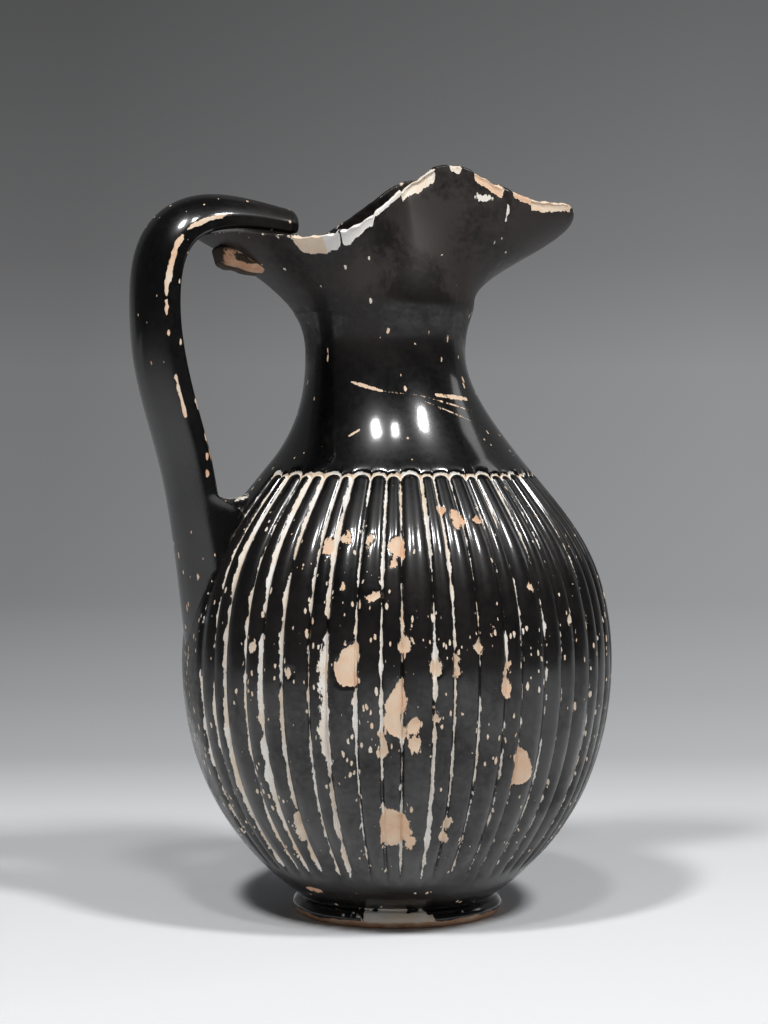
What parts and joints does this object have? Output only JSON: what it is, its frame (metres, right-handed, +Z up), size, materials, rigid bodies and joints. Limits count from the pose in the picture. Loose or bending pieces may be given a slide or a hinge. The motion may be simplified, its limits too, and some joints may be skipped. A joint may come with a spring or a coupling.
{
  "type": "oinochoe jug",
  "caption": "Ribbed black-gloss ceramic wine jug with a ring foot, a slender neck, a pinched trefoil mouth with a pouring spout and a tall strap handle.",
  "frame": {"origin": "centre of the ring foot's underside, on the resting plane", "axes": "+Z up through the mouth, +X towards the pouring spout, -X towards the handle"},
  "size_m": [0.1289, 0.1156, 0.199],
  "materials": {
    "black_gloss": "black gloss slip, fired, worn to pale clay at edges",
    "bare_clay": "bare fired clay, matte"
  },
  "bodies": {
    "root": {"foot_ring": "black_gloss", "ribbed_body": "black_gloss", "neck": "black_gloss", "neck_luting_coil": "bare_clay", "trefoil_mouth": "black_gloss", "strap_handle": "black_gloss", "handle_root_wad": "black_gloss", "handle_rim_wad": "bare_clay"}
  },
  "joints": []
}
